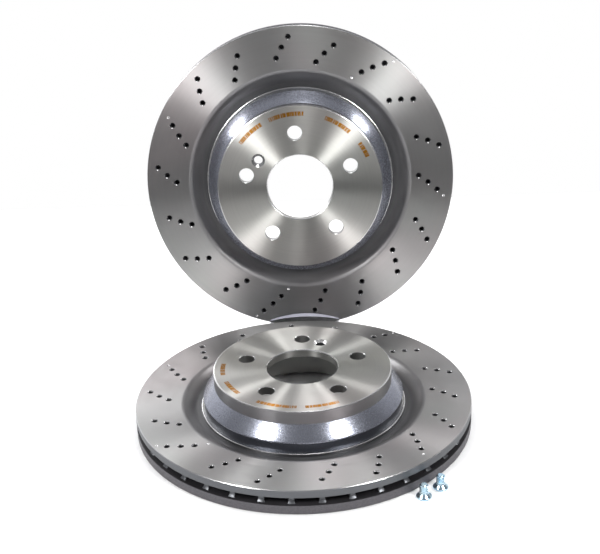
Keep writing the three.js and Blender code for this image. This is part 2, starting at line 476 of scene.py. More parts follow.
class EtchedTicks(Effect):
    """A curved row of plain ticks, as a laser leaves them."""

    name = "etched_ticks"
    takes = (
        ("Position", VECTOR, None),
        ("Middle", FLOAT, 0.0),
        ("Half Sweep", FLOAT, 10.0),
        ("Radius", FLOAT, 75.5),
        ("Height", FLOAT, 4.4),
    )
    gives = (("Mask", FLOAT),)

    def wire(self, graph: Graph, entry: bpy.types.Node, end: bpy.types.Node) -> None:
        """Wires a band between two angles, cut into ticks of random width and length.

        Args:
            graph: the group's graph.
            entry: the node that holds the group's inputs.
            end: the node that takes its outputs.
        """
        position = entry.outputs["Position"]
        back = graph.product(graph.math("RADIANS", entry.outputs["Middle"]), -1)
        turned = graph.node("VectorRotate", {"Vector": position, "Angle": back}, rotation_type="Z_AXIS")
        split = graph.node("SeparateXYZ", {0: turned.outputs[0]})
        angle = graph.math("DEGREES", graph.math("ARCTAN2", split.outputs["Y"], split.outputs["X"]))
        off = graph.math("SUBTRACT", graph.radius(position), entry.outputs["Radius"])
        inside = graph.math("LESS_THAN", graph.math("ABSOLUTE", angle), entry.outputs["Half Sweep"])
        inked = graph.math("GREATER_THAN", graph.noise_along(angle, 1.3, 1), 0.4)
        slant = graph.math("ADD", off, graph.product(angle, 3.7))
        broken = graph.math("GREATER_THAN", graph.noise_along(slant, 0.9), 0.34)
        high = graph.math("LESS_THAN", graph.math("ABSOLUTE", off), graph.product(entry.outputs["Height"], 0.5))
        graph.feed(end, {"Mask": graph.product(inside, inked, broken, high)})


# ---------------------------------------------------------------- finishes


@dataclass(frozen=True)
class Finish:
    """What every finish has, and how a pattern finds its place on a disc."""

    name: str
    colour: Colour
    roughness: float

    def start(self, label: str) -> tuple[bpy.types.Material, Graph, bpy.types.Node]:
        """Makes a material with an empty graph, a shader and an output.

        Args:
            label: the name of the piece that the material is for.

        Returns:
            The material, its graph and its Principled BSDF.
        """
        made = bpy.data.materials.new(f"{label}_{self.name}")
        made.use_nodes = True
        made.diffuse_color = self.colour
        graph = Graph(made.node_tree)
        shader = graph.node("BsdfPrincipled", {"Base Color": self.colour, "Roughness": self.roughness})
        graph.node("OutputMaterial", {"Surface": shader.outputs[0]})
        return made, graph, shader

    def own_axes(self, graph: Graph, where: Placement) -> bpy.types.NodeSocket:
        """Finds the position in a disc's own frame, whatever way the disc stands.

        Args:
            graph: the material's graph.
            where: the disc's placement.

        Returns:
            The position in metres.
        """
        back = where.turn().inverted()
        move = {"Location": back @ (Vector(where.centre) * -MM), "Rotation": back.to_euler()}
        coordinate = graph.node("TexCoord").outputs["Object"]
        return graph.node("Mapping", {"Vector": coordinate, **move}, vector_type="POINT").outputs[0]

    def away_from_axle(self, graph: Graph, where: Placement) -> bpy.types.NodeSocket:
        """Returns the direction from the disc's middle, which a turned face's highlights run along."""
        coordinate = graph.node("TexCoord").outputs["Object"]
        return graph.vector("SUBTRACT", coordinate, tuple(Vector(where.centre) * MM))


@dataclass(frozen=True)
class MachinedIron(Finish):
    """Iron that was turned or ground, with its tool lines and long highlights."""

    spacing: float = 0.35
    relief: float = 0.3
    streak: float = 0.8
    contrast: float = 0.25
    warm: Colour = (0.5, 0.435, 0.44, 1)
    cool: Colour = (0.43, 0.46, 0.43, 1)
    tint: float = 0.5
    # A fade darkens the colour from its outer radius in to its inner one, to the colour below it: painted shade.
    fade: tuple[float, float] | None = None
    painted_shade: Colour = (0.15, 0.15, 0.155, 1)
    etched: bool = False
    amber: Colour = (0.48, 0.22, 0.03, 1)

    def dress(self, where: Placement) -> bpy.types.Material:
        """Makes the material for one disc.

        Args:
            where: the disc's placement.

        Returns:
            The material.
        """
        made, graph, shader = self.start(where.name)
        position = self.own_axes(graph, where)
        tints = {"Base": self.colour, "Warm": self.warm, "Cool": self.cool, "Amount": self.tint}
        tint = TemperTint().place(graph, Position=position, **tints)
        lines = LatheLines().place(graph, Position=position, Spacing=self.spacing, Waver=0.15)
        darker = graph.blend(1.0, tint.outputs["Color"], (0.62, 0.62, 0.63, 1), "MULTIPLY")
        depth = graph.product(graph.span(lines.outputs["Shade"], 1, 0, 0.35, 0.65), self.contrast)
        colour = self.with_painted_shade(graph, position, graph.blend(depth, tint.outputs["Color"], darker))
        worn = graph.math("ADD", lines.outputs["Shade"], tint.outputs["Smudge"])
        roughness = graph.span(worn, self.roughness - 0.07, self.roughness + 0.07, 0.7, 1.3)
        if self.etched:
            mask = self.marks(graph, where, position)
            colour = graph.blend(mask, colour, self.amber)
            roughness = graph.math("ADD", roughness, graph.product(mask, 0.2))
        normal = graph.bump(lines.outputs["Height"], self.relief, 0.00004)
        graph.feed(shader, {"Base Color": colour, "Roughness": roughness, "Normal": normal})
        graph.feed(shader, {"Metallic": 1, "Anisotropic": self.streak})
        if self.streak:
            graph.feed(shader, {"Tangent": self.away_from_axle(graph, where)})
        return made

    def with_painted_shade(
        self, graph: Graph, position: bpy.types.NodeSocket, colour: bpy.types.NodeSocket
    ) -> bpy.types.NodeSocket:
        """Darkens a colour towards the middle of the disc as painted shade, if the finish has a fade.

        Args:
            graph: the material's graph.
            position: the position in the disc's own frame.
            colour: the colour outside the fade.

        Returns:
            The colour.
        """
        if not self.fade:
            return colour
        inner, outer = self.fade
        mask = RadialFade().place(graph, Position=position, Inner=inner, Outer=outer).outputs["Mask"]
        return graph.blend(mask, self.painted_shade, colour)

    def marks(self, graph: Graph, where: Placement, position: bpy.types.NodeSocket) -> bpy.types.NodeSocket:
        """Masks all the disc's etched rows together.

        Args:
            graph: the material's graph.
            where: the disc's placement.
            position: the position in the disc's own frame.

        Returns:
            The mask.
        """
        mask = 0
        for start, finish in where.etching:
            sweep = {"Middle": (start + finish) / 2, "Half_Sweep": abs(finish - start) / 2}
            row = EtchedTicks().place(graph, Position=position, **sweep)
            mask = graph.math("MAXIMUM", mask, row.outputs["Mask"])
        return mask


@dataclass(frozen=True)
class FlakeCoating(Finish):
    """The grey anti-corrosion coat on the parts of a disc that no pad touches."""

    flake: float = 0.8
    sparkle: float = 0.3
    relief: float = 0.25
    metallic: float = 0.9

    def dress(self, where: Placement) -> bpy.types.Material:
        """Makes the material for one disc.

        Args:
            where: the disc's placement.

        Returns:
            The material.
        """
        made, graph, shader = self.start(where.name)
        position = self.own_axes(graph, where)
        flakes = ZincFlakes().place(graph, Position=position, Size=self.flake)
        shade = flakes.outputs["Shade"]
        colour = graph.shaded(self.colour, graph.span(shade, 1 - self.sparkle, 1 + self.sparkle))
        roughness = graph.span(shade, self.roughness + 0.08, self.roughness - 0.08)
        normal = graph.bump(flakes.outputs["Height"], self.relief, 0.0001)
        graph.feed(shader, {"Base Color": colour, "Roughness": roughness, "Normal": normal})
        graph.feed(shader, {"Metallic": self.metallic})
        return made


@dataclass(frozen=True)
class RawCasting(Finish):
    """Iron as it came out of the sand."""

    grain: float = 0.7
    pitting: float = 0.5
    relief: float = 0.6
    metallic: float = 0.5

    def dress(self, where: Placement) -> bpy.types.Material:
        """Makes the material for one disc.

        Args:
            where: the disc's placement.

        Returns:
            The material.
        """
        made, graph, shader = self.start(where.name)
        position = self.own_axes(graph, where)
        skin = CastSkin().place(graph, Position=position, Grain=self.grain, Pitting=self.pitting)
        shade = skin.outputs["Shade"]
        colour = graph.shaded(self.colour, graph.span(shade, 0.7, 1.35, 0.35, 0.65))
        roughness = graph.span(shade, self.roughness + 0.06, self.roughness - 0.06, 0.3, 0.7)
        normal = graph.bump(skin.outputs["Height"], self.relief, 0.0003)
        graph.feed(shader, {"Base Color": colour, "Roughness": roughness, "Normal": normal})
        graph.feed(shader, {"Metallic": self.metallic})
        return made


@dataclass(frozen=True)
class BlueZinc(Finish):
    """Bright zinc plate with the faint blue and straw of its passivation."""

    warm: Colour = (0.74, 0.84, 0.78, 1)
    cool: Colour = (0.42, 0.68, 0.93, 1)
    tint: float = 0.8
    drift: float = 9

    def dress(self, label: str) -> bpy.types.Material:
        """Makes the material for one screw.

        Args:
            label: the screw's name.

        Returns:
            The material.
        """
        made, graph, shader = self.start(label)
        position = graph.node("TexCoord").outputs["Object"]
        near = graph.vector("MULTIPLY", position, (self.drift,) * 3)
        tints = {"Base": self.colour, "Warm": self.warm, "Cool": self.cool, "Amount": self.tint}
        tint = TemperTint().place(graph, Position=near, **tints)
        skin = CastSkin().place(graph, Position=position, Grain=0.25, Pitting=0.1)
        roughness = graph.span(tint.outputs["Smudge"], self.roughness - 0.06, self.roughness + 0.08, 0.3, 0.7)
        normal = graph.bump(skin.outputs["Height"], 0.08, 0.0001)
        colour = tint.outputs["Color"]
        graph.feed(shader, {"Base Color": colour, "Roughness": roughness, "Normal": normal, "Metallic": 1})
        return made


@dataclass(frozen=True)
class ClearAcrylic(Finish):
    """Cast acrylic sheet, polished on its faces."""

    index: float = 1.49

    def dress(self, label: str) -> bpy.types.Material:
        """Makes the material.

        Args:
            label: the name of the piece that the material is for.

        Returns:
            The material.
        """
        made, graph, shader = self.start(label)
        graph.feed(shader, {"Transmission Weight": 1, "IOR": self.index})
        return made


DISC_FINISHES: dict[Zone, Finish] = {
    Zone.TRACK: MachinedIron(
        "track", (0.44, 0.435, 0.43, 1), 0.42, spacing=0.5, relief=0.1, streak=0.95, contrast=0.12, tint=0.55
    ),
    Zone.HAT_TOP: MachinedIron(
        "hat_top", (0.64, 0.63, 0.6, 1), 0.41, relief=0.12, streak=1.0, contrast=0.15, tint=0.4, etched=True
    ),
    Zone.BRIGHT_EDGE: MachinedIron(
        "bright_edge", (0.68, 0.68, 0.68, 1), 0.24, spacing=0.2, relief=0.03, streak=0.0, tint=0.1
    ),
    Zone.HAT_SIDE: MachinedIron(
        "hat_side", (0.28, 0.28, 0.29, 1), 0.36, spacing=0.3, relief=0.12, streak=0.5, tint=0.3
    ),
    Zone.COATING: FlakeCoating(
        "coating", (0.31, 0.325, 0.38, 1), 0.23, flake=0.6, sparkle=0.22, relief=0.15
    ),
    # The groove darkens from 112 mm in to 99 mm: painted shade towards the hat.
    Zone.GROOVE: MachinedIron(
        "groove",
        (0.4, 0.395, 0.4, 1),
        0.4,
        spacing=0.8,
        relief=0.05,
        streak=0.6,
        contrast=0.1,
        tint=0.3,
        fade=(99, 112),
    ),
    Zone.OUTBOARD_RIM: MachinedIron(
        "outboard_rim", (0.15, 0.155, 0.165, 1), 0.42, spacing=0.4, relief=0.15, streak=0.0, tint=0.0
    ),
    Zone.INBOARD_RIM: FlakeCoating(
        "inboard_rim", (0.125, 0.12, 0.13, 1), 0.46, sparkle=0.12, relief=0.2, metallic=0.6
    ),
    Zone.CASTING: RawCasting("casting", (0.1, 0.1, 0.11, 1), 0.55),
    Zone.HUB_FACE: MachinedIron(
        "hub_face", (0.5, 0.49, 0.47, 1), 0.4, spacing=0.4, relief=0.15, streak=0.9, tint=0.3
    ),
    Zone.DRUM: MachinedIron("drum", (0.34, 0.34, 0.33, 1), 0.38, spacing=0.4, streak=0.0, tint=0.3),
    # The walls of the drilled holes are near-black machined iron: painted shade inside the holes.
    Zone.DRILLED_SHADE: MachinedIron("drilled", (0.1, 0.1, 0.105, 1), 0.45, spacing=0.4, streak=0.0, tint=0.1),
    # The faces between the plates, and the vanes' sides, are near-black casting: painted shade in the cooling
    # channels.
    Zone.VENT_SHADE: RawCasting("vent_shade", (0.035, 0.033, 0.037, 1), 0.6, metallic=0.3),
    # The ring under the hat's shoulder is near-black coating: painted shade in the undercut.
    Zone.NECK_SHADE: FlakeCoating("neck_shade", (0.07, 0.075, 0.09, 1), 0.4, sparkle=0.1, relief=0.05),
    Zone.SINK: MachinedIron("sink", (0.46, 0.46, 0.46, 1), 0.24, spacing=0.2, relief=0.02, streak=0.0, tint=0.0),
}


# ---------------------------------------------------------------- mesh tools


def eased(start: Point, control: Point, finish: Point, steps: int) -> list[Point]:
    """Steps along a curve that leaves its start and reaches its finish towards a control point.

    Args:
        start: the first point, which isn't returned.
        control: the point that the curve bends towards.
        finish: the last point.
        steps: how many points to return.

    Returns:
        The points after the start.
    """
    first, middle, last = Vector(start), Vector(control), Vector(finish)
    points = []
    for i in range(1, steps + 1):
        t = i / steps
        points.append(tuple(first * (1 - t) ** 2 + middle * (2 * t * (1 - t)) + last * t**2))
    return points


def nearest_zone(outline: Sequence[Station], radius: float, height: float) -> Zone:
    """Finds the zone of an outline's nearest segment to a point.

    Args:
        outline: the corners of the outline, which closes on itself.
        radius: the point's radius.
        height: the point's height.

    Returns:
        The zone.
    """
    point = Vector((radius, height))
    best, found = math.inf, outline[0].zone
    for a, b in zip(outline, [*outline[1:], outline[0]]):
        start, run = Vector((a.radius, a.height)), Vector((b.radius - a.radius, b.height - a.height))
        t = max(0.0, min(1.0, (point - start).dot(run) / max(run.length_squared, 1e-9)))
        distance = (start + run * t - point).length
        if distance < best:
            best, found = distance, a.zone
    return found


def turn_outline(
    mesh: bmesh.types.BMesh, outline: Sequence[Station], steps: int, closed: bool = True
) -> list[bmesh.types.BMVert]:
    """Turns an outline right round the axle, and gives each face the zone of the side that made it.

    Args:
        mesh: the mesh that the body is added to.
        outline: the corners of the outline.
        steps: the facets of the full turn.
        closed: whether the outline closes on itself. If it doesn't, both its ends are on the axle.

    Returns:
        The body's vertices.
    """
    old_verts, old_faces = set(mesh.verts), set(mesh.faces)
    corners = [mesh.verts.new((s.radius, 0, s.height)) for s in outline]
    following = corners[1:] + corners[:1] if closed else corners[1:]
    edges = [mesh.edges.new(pair) for pair in zip(corners, following)]
    axle = {"axis": (0, 0, 1), "cent": (0, 0, 0), "dvec": (0, 0, 0)}
    bmesh.ops.spin(mesh, geom=corners + edges, angle=2 * math.pi, steps=steps, use_merge=True, **axle)
    if not closed:
        bmesh.ops.remove_doubles(mesh, verts=[v for v in mesh.verts if v not in old_verts], dist=1e-4)
    sides = outline if closed else outline[:-1]
    made = [f for f in mesh.faces if f not in old_faces]
    for face in made:
        middle = face.calc_center_median()
        face.material_index = nearest_zone(sides, math.hypot(middle.x, middle.y), middle.z).value
    bmesh.ops.recalc_face_normals(mesh, faces=made)
    return [v for v in mesh.verts if v not in old_verts]


def bevel(
    mesh: bmesh.types.BMesh, edges: list[bmesh.types.BMEdge], width: float, segments: int, material: int = -1
) -> None:
    """Bevels edges to a rounded profile.

    Args:
        mesh: the mesh.
        edges: the edges.
        width: how far the bevel reaches along each side.
        segments: its facets.
        material: the material slot of the new faces, or -1 for that of their neighbours.
    """
    shape = {"offset_type": "OFFSET", "affect": "EDGES", "profile": 0.5}
    bmesh.ops.bevel(mesh, geom=edges, offset=width, segments=segments, material=material, **shape)


def round_ring(
    mesh: bmesh.types.BMesh, radius: float, height: float, width: float, segments: int, zone: Zone | None = None
) -> None:
    """Bevels one circular corner of a turned body.

    Args:
        mesh: the mesh.
        radius: the corner's radius.
        height: the corner's height.
        width: how far the bevel reaches along each side.
        segments: its facets.
        zone: the zone of the new faces, or None for that of their neighbours.
    """
    near = 0.01
    level = [v for v in mesh.verts if abs(v.co.z - height) < near]
    on_ring = {v for v in level if abs(math.hypot(v.co.x, v.co.y) - radius) < near}
    edges = [e for e in mesh.edges if e.verts[0] in on_ring and e.verts[1] in on_ring]
    bevel(mesh, edges, width, segments, -1 if zone is None else zone.value)


def move_out(mesh: bmesh.types.BMesh, verts: list[bmesh.types.BMVert], radius: float, angle: float) -> None:
    """Moves vertices from the axle out to a radius.

    Args:
        mesh: the mesh.
        verts: its vertices that are moved.
        radius: how far they are moved.
        angle: the direction round the axle, in degrees.
    """
    turn = math.radians(angle)
    bmesh.ops.translate(mesh, verts=verts, vec=(radius * math.cos(turn), radius * math.sin(turn), 0))


def upright_edges(mesh: bmesh.types.BMesh) -> list[bmesh.types.BMEdge]:
    """Returns the edges of a mesh that run up and down."""
    return [e for e in mesh.edges if abs(e.verts[0].co.z - e.verts[1].co.z) > 1]


def as_object(mesh: bmesh.types.BMesh, name: str, finishes: Sequence[bpy.types.Material]) -> bpy.types.Object:
    """Puts a finished bmesh in an object of its own, at the origin.

    Args:
        mesh: the mesh, which is freed.
        name: the object's name.
        finishes: its materials, in slot order.

    Returns:
        The object.
    """
    data = bpy.data.meshes.new(name)
    mesh.to_mesh(data)
    mesh.free()
    for finish in finishes:
        data.materials.append(finish)
    made = bpy.data.objects.new(name, data)
    bpy.context.scene.collection.objects.link(made)
    return made


def carve(body: bpy.types.Object, tool: bpy.types.Object) -> None:
    """Cuts one mesh out of another for good, and removes the tool.

    Args:
        body: the object that is cut.
        tool: the object that cuts it, with the same material slots.
    """
    cut = body.modifiers.new("carve", "BOOLEAN")
    cut.operation = "DIFFERENCE"
    cut.solver = "EXACT"
    cut.material_mode = "INDEX"
    cut.object = tool
    bpy.context.view_layer.update()
    carved = bpy.data.meshes.new_from_object(body.evaluated_get(bpy.context.evaluated_depsgraph_get()))
    body.modifiers.clear()
    spent = body.data
    body.data = carved
    carved.name = body.name
    bpy.data.meshes.remove(spent)
    bpy.data.meshes.remove(tool.data)


def finish_piece(piece: bpy.types.Object, move: Matrix, node: str, crease: float = 20) -> None:
    """Puts a piece in its place, shades it and hands it to the frame.

    Args:
        piece: the piece, whose mesh is in millimetres about the origin.
        move: the move to its place in metres.
        node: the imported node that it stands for.
        crease: the angle in degrees from which an edge stays sharp.
    """
    piece.data.transform(move)
    piece.data.shade_smooth()
    piece.data.set_sharp_from_angle(angle=math.radians(crease))
    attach(piece, "root")
    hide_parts(node)
    LOG.info("%s: %d faces", piece.name, len(piece.data.polygons))


# ---------------------------------------------------------------- the brake disc


@dataclass
class BrakeDisc:
    """One ventilated, cross-drilled disc."""

    place: Placement
    facets: int = 180
    drill_facets: int = 16
    bolt_facets: int = 40
    screw_facets: int = 32

    radius: float = 160
    thickness: float = 24
    outboard_plate: float = 7.6
    inboard_plate: float = 8.8
    rim_chamfer: float = 0.55
    track_inner: float = 114
    inboard_inner: float = 106

    hat_height: float = 31.4
    hat_radius: float = 84.4
    hat_side: float = 12.8
    web: float = 8
    shoulder_radius: float = 95.7
    shoulder_height: float = 5.9
    neck_shade_radius: float = 94.6
    neck_shade_drop: float = 1.6
    lip_radius: float = 97.4
    lip_height: float = -4.2
    groove_floor: float = -7
    groove_radius: float = 101
    groove_sweep: float = 6
    track_land: float = 3.4

    drum_radius: float = 82
    drum_wall: float = 8.5
    drum_recess: float = 2.5
    drum_top: float = 8
    drum_shoulder: float = -15.5
    cavity_radius: float = 76
    cavity_slope: float = 7.6
    root_inner: float = 4
    root_height: float = -13.5

    bore_radius: float = 33.5
    bolt_circle: float = 56
    bolt_radius: float = 7.6
    bolt_sink: float = 0.3
    bolt_count: int = 5
    screw_angle: float = -20.5
    screw_circle: float = 50.6
    screw_radius: float = 4.5
    screw_head: float = 6.9
    burr: float = 0.2

    vane_count: int = 37
    vane_width: float = 8
    vane_rounding: float = 1.6
    vane_waist: float = 0.7
    vane_flare: float = 2.6
    vane_inner: float = 107
    vane_outer: float = 154.8
    vane_angle: float = 0.8

    row_count: int = 18
    row_holes: int = 3
    row_outer: float = 149
    row_step: float = 10
    row_twist: float = 0.31
    drill_radius: float = 2.4
    drill_sink: float = 0.65
    drill_overlap: float = 0.5
    inboard_turn: float = 10
    pit_rows: tuple[int, ...] = (0, 3, 8, 13)
    pit_outside: float = 7.3
    pit_inside: float = 9.6
    pit_radius: float = 2.2
    pit_depth: float = 1.1
    pit_brim: float = 0.6

    @property
    def web_bottom(self) -> float:
        """The height of the hat top's inner face."""
        return self.hat_height - self.web

    @property
    def drum_end(self) -> float:
        """The height of the drum's open end."""
        return self.drum_recess - self.thickness

    def outboard_outline(self) -> list[Station]:
        """Draws the section of the hat and the outboard plate.

        Returns:
            The corners, from the bore over the wheel face to the rim and back underneath.
        """
        drum_outer = self.drum_radius + self.drum_wall
        floor_end, track_start = (self.groove_radius, self.groove_floor), (self.track_inner, 0)
        slope = eased(floor_end, (self.groove_radius + self.groove_sweep, self.groove_floor), track_start, 8)
        plate_root = (self.track_inner + self.root_inner, -self.outboard_plate)
        root_end = (self.lip_radius, self.root_height)
        under = eased(plate_root, (self.inboard_inner, -self.outboard_plate), root_end, 6)
        corners = [
            (self.bore_radius, self.web_bottom, Zone.HUB_FACE),
            (self.bore_radius, self.hat_height, Zone.HAT_TOP),
            (self.hat_radius, self.hat_height, Zone.HAT_SIDE),
            (self.hat_radius, self.hat_height - self.hat_side, Zone.COATING),
            (self.shoulder_radius, self.shoulder_height, Zone.NECK_SHADE),
            (self.neck_shade_radius, self.shoulder_height - self.neck_shade_drop, Zone.NECK_SHADE),
            (self.neck_shade_radius, self.lip_height, Zone.BRIGHT_EDGE),
            (self.lip_radius, self.lip_height, Zone.GROOVE),
            (self.lip_radius, self.groove_floor, Zone.GROOVE),
            (*floor_end, Zone.GROOVE),
            *((radius, height, Zone.GROOVE) for radius, height in slope[:-1]),
            (*track_start, Zone.TRACK),
            (self.track_inner + self.track_land, 0, Zone.TRACK),
            (self.radius, 0, Zone.OUTBOARD_RIM),
            (self.radius, -self.outboard_plate, Zone.VENT_SHADE),
            (*plate_root, Zone.VENT_SHADE),
            *((radius, height, Zone.VENT_SHADE) for radius, height in under),
            (drum_outer, self.drum_shoulder, Zone.CASTING),
            (drum_outer, self.drum_end, Zone.DRUM),
            (self.drum_radius, self.drum_end, Zone.DRUM),
            (self.drum_radius, self.drum_top, Zone.CASTING),
            (self.cavity_radius, self.drum_top + self.cavity_slope, Zone.CASTING),
            (self.cavity_radius, self.web_bottom, Zone.HUB_FACE),
        ]
        return [Station(*corner) for corner in corners]

    def inboard_outline(self) -> list[Station]:
        """Draws the section of the inboard plate.

        Returns:
            The corners.
        """
        top = self.inboard_plate - self.thickness
        return [
            Station(self.inboard_inner, -self.thickness, Zone.CASTING),
            Station(self.inboard_inner, top, Zone.VENT_SHADE),
            Station(self.radius, top, Zone.INBOARD_RIM),
            Station(self.radius, -self.thickness, Zone.TRACK),
        ]

    def casting(self) -> bmesh.types.BMesh:
        """Turns the hat and the two plates, and breaks their edges.

        Returns:
            The mesh, not drilled yet.
        """
        mesh = bmesh.new()
        turn_outline(mesh, self.outboard_outline(), self.facets)
        turn_outline(mesh, self.inboard_outline(), self.facets)
        # Each broken edge's radius and height, then its bevel's width, facets and zone.
        edges = (
            (self.bore_radius, self.hat_height, 0.9, 2, Zone.BRIGHT_EDGE),
            (self.bore_radius, self.web_bottom, 0.9, 1, Zone.BRIGHT_EDGE),
            (self.hat_radius, self.hat_height, 0.8, 2, Zone.BRIGHT_EDGE),
            (self.shoulder_radius, self.shoulder_height, 1.0, 3, Zone.COATING),
            (self.lip_radius, self.lip_height, 0.5, 2, Zone.BRIGHT_EDGE),
            (self.track_inner, 0, 2.6, 5, Zone.GROOVE),
            (self.radius, 0, self.rim_chamfer, 1, Zone.BRIGHT_EDGE),
            (self.radius, -self.outboard_plate, 0.5, 2, None),
            (self.radius, self.inboard_plate - self.thickness, 0.5, 2, None),
            (self.radius, -self.thickness, self.rim_chamfer, 1, Zone.BRIGHT_EDGE),
            (self.inboard_inner, -self.thickness, 1.2, 1, Zone.BRIGHT_EDGE),
            (self.drum_radius, self.drum_end, 1.0, 1, Zone.BRIGHT_EDGE),
            (self.cavity_radius, self.web_bottom, 2.5, 4, Zone.CASTING),
        )
        for radius, height, width, segments, zone in edges:
            round_ring(mesh, radius, height, width, segments, zone)
        return mesh

    def hat_drill(self, radius: float, sink: float, wall: Zone) -> list[Station]:
        """Draws the section of a drill that goes through the hat's top and breaks the hole's edges.

        Args:
            radius: the hole's radius.
            sink: how much wider the hole is at the wheel face.
            wall: the zone of the hole's wall.

        Returns:
            The section, from the axle above the hole to the axle below it.
        """
        top, bottom = self.hat_height, self.web_bottom
        return [
            Station(0, top + 1, Zone.BRIGHT_EDGE),
            Station(radius + sink + 1, top + 1, Zone.BRIGHT_EDGE),
            Station(radius, top - sink, wall),
            Station(radius, bottom + self.burr, Zone.BRIGHT_EDGE),
            Station(radius + self.burr + 1, bottom - 1, Zone.BRIGHT_EDGE),
            Station(0, bottom - 1, Zone.BRIGHT_EDGE),
        ]

    def plate_drill(self, face: float, end: float) -> list[Station]:
        """Draws the section of a drill that goes in through a friction face and stops between the plates.

        Args:
            face: the height of the face where it starts.
            end: the height where it stops.

        Returns:
            The section, from the axle outside the face to the axle at the end.
        """
        out = math.copysign(1, face - end)
        return [
            Station(0, face + out, Zone.SINK),
            Station(self.drill_radius + self.drill_sink + 1, face + out, Zone.SINK),
            Station(self.drill_radius, face - out * self.drill_sink, Zone.DRILLED_SHADE),
            Station(self.drill_radius, end, Zone.DRILLED_SHADE),
            Station(0, end, Zone.DRILLED_SHADE),
        ]

    def row_spots(self, row: int) -> list[tuple[list[Station], float, float]]:
        """Lists what is cut along one slanting row: its holes from both faces, and any wear pits.

        Args:
            row: the row's number.

        Returns:
            Each tool's section, its radius, and its angle in degrees from the row's start.
        """
        channel = (self.outboard_plate + self.thickness - self.inboard_plate) / 2
        outboard = self.plate_drill(0, self.drill_overlap - channel)
        inboard = self.plate_drill(-self.thickness, -self.drill_overlap - channel)
        outer = self.row_outer - (row % 2) * self.row_step / 2
        holes = [outer - hole * self.row_step for hole in range(self.row_holes)]
        spots = [(outboard, radius, 0.0) for radius in holes]
        spots += [(inboard, radius, self.inboard_turn) for radius in holes]
        if row in self.pit_rows:
            corners = ((0, self.pit_brim), (self.pit_radius, self.pit_brim), (0, -self.pit_depth))
            pit = [Station(radius, height, Zone.BRIGHT_EDGE) for radius, height in corners]
            spots.append((pit, outer + self.pit_outside, 0.0))
            if row % 2 == 0:
                spots.append((pit, holes[-1] - self.pit_inside, 0.0))
        return [(tool, radius, turn + (self.row_outer - radius) * self.row_twist) for tool, radius, turn in spots]

    def tools(self) -> bmesh.types.BMesh:
        """Makes everything that is cut from the casting: drilled rows, wear pits, bolt holes and screw hole.

        Returns:
            The tools in one mesh.
        """
        mesh = bmesh.new()
        for row in range(self.row_count):
            start = self.place.drilling - row * 360 / self.row_count
            for section, radius, turn in self.row_spots(row):
                move_out(mesh, turn_outline(mesh, section, self.drill_facets, closed=False), radius, start + turn)
        bolt = self.hat_drill(self.bolt_radius, self.bolt_sink, Zone.DRUM)
        for i in range(self.bolt_count):
            angle = self.place.spin + i * 360 / self.bolt_count
            move_out(mesh, turn_outline(mesh, bolt, self.bolt_facets, closed=False), self.bolt_circle, angle)
        screw = self.hat_drill(self.screw_radius, self.screw_head - self.screw_radius, Zone.DRILLED_SHADE)
        angle = self.place.spin + self.screw_angle
        move_out(mesh, turn_outline(mesh, screw, self.screw_facets, closed=False), self.screw_circle, angle)
        return mesh

    def vane(self) -> bmesh.types.BMesh:
        """Models one cooling vane on the X axis, waisted between the plates and rounded at its ends.

        Returns:
            The mesh.
        """
        mesh = bmesh.new()
        gap = self.thickness - self.outboard_plate - self.inboard_plate
        length = self.vane_outer - self.vane_inner
        height = gap + 2 * self.drill_overlap
        bar = bmesh.ops.create_cube(mesh, size=1)["verts"]
        bmesh.ops.scale(mesh, verts=bar, vec=(length, self.vane_width, height))
        bevel(mesh, upright_edges(mesh), self.vane_rounding, 3)
        bmesh.ops.subdivide_edges(mesh, edges=upright_edges(mesh), cuts=5)
        for vert in mesh.verts:
            across = abs(vert.co.z) / (height / 2)
            vert.co.y *= self.vane_waist + (1 - self.vane_waist) * across**3
            if vert.co.x > 0 and vert.co.z < 0:
                vert.co.x += self.vane_flare * across**2
        middle = (self.vane_inner + length / 2, 0, -self.outboard_plate - gap / 2)
        bmesh.ops.translate(mesh, verts=mesh.verts, vec=middle)
        # A vane's outer end takes the rim's iron and its sides the near-black channel casting, which is painted
        # shade between the plates.
        for face in mesh.faces:
            outer = face.normal.x > 0.3 and face.calc_center_median().x > self.vane_outer - 2
            face.material_index = (Zone.OUTBOARD_RIM if outer else Zone.VENT_SHADE).value
        return mesh

    def vanes(self) -> bmesh.types.BMesh:
        """Repeats the vane right round the axle.

        Returns:
            The vanes in one mesh.
        """
        mesh = self.vane()
        first = Matrix.Rotation(math.radians(self.place.spin + self.vane_angle), 3, "Z")
        bmesh.ops.rotate(mesh, verts=mesh.verts, cent=(0, 0, 0), matrix=first)
        source = list(mesh.verts) + list(mesh.edges) + list(mesh.faces)
        for i in range(1, self.vane_count):
            copy = bmesh.ops.duplicate(mesh, geom=source)["geom"]
            turn = Matrix.Rotation(2 * math.pi * i / self.vane_count, 3, "Z")
            verts = [v for v in copy if isinstance(v, bmesh.types.BMVert)]
            bmesh.ops.rotate(mesh, verts=verts, cent=(0, 0, 0), matrix=turn)
        return mesh

    def build(self) -> None:
        """Models the disc's plates and vanes, dresses them and puts them in their place."""
        name = self.place.name
        finishes = [DISC_FINISHES[zone].dress(self.place) for zone in Zone]
        plates = as_object(self.casting(), f"{name}_plates", finishes)
        carve(plates, as_object(self.tools(), f"{name}_tools", finishes))
        vanes = as_object(self.vanes(), f"{name}_vanes", finishes)
        for piece in (plates, vanes):
            finish_piece(piece, self.place.matrix(), self.place.node)


# ---------------------------------------------------------------- the securing screw


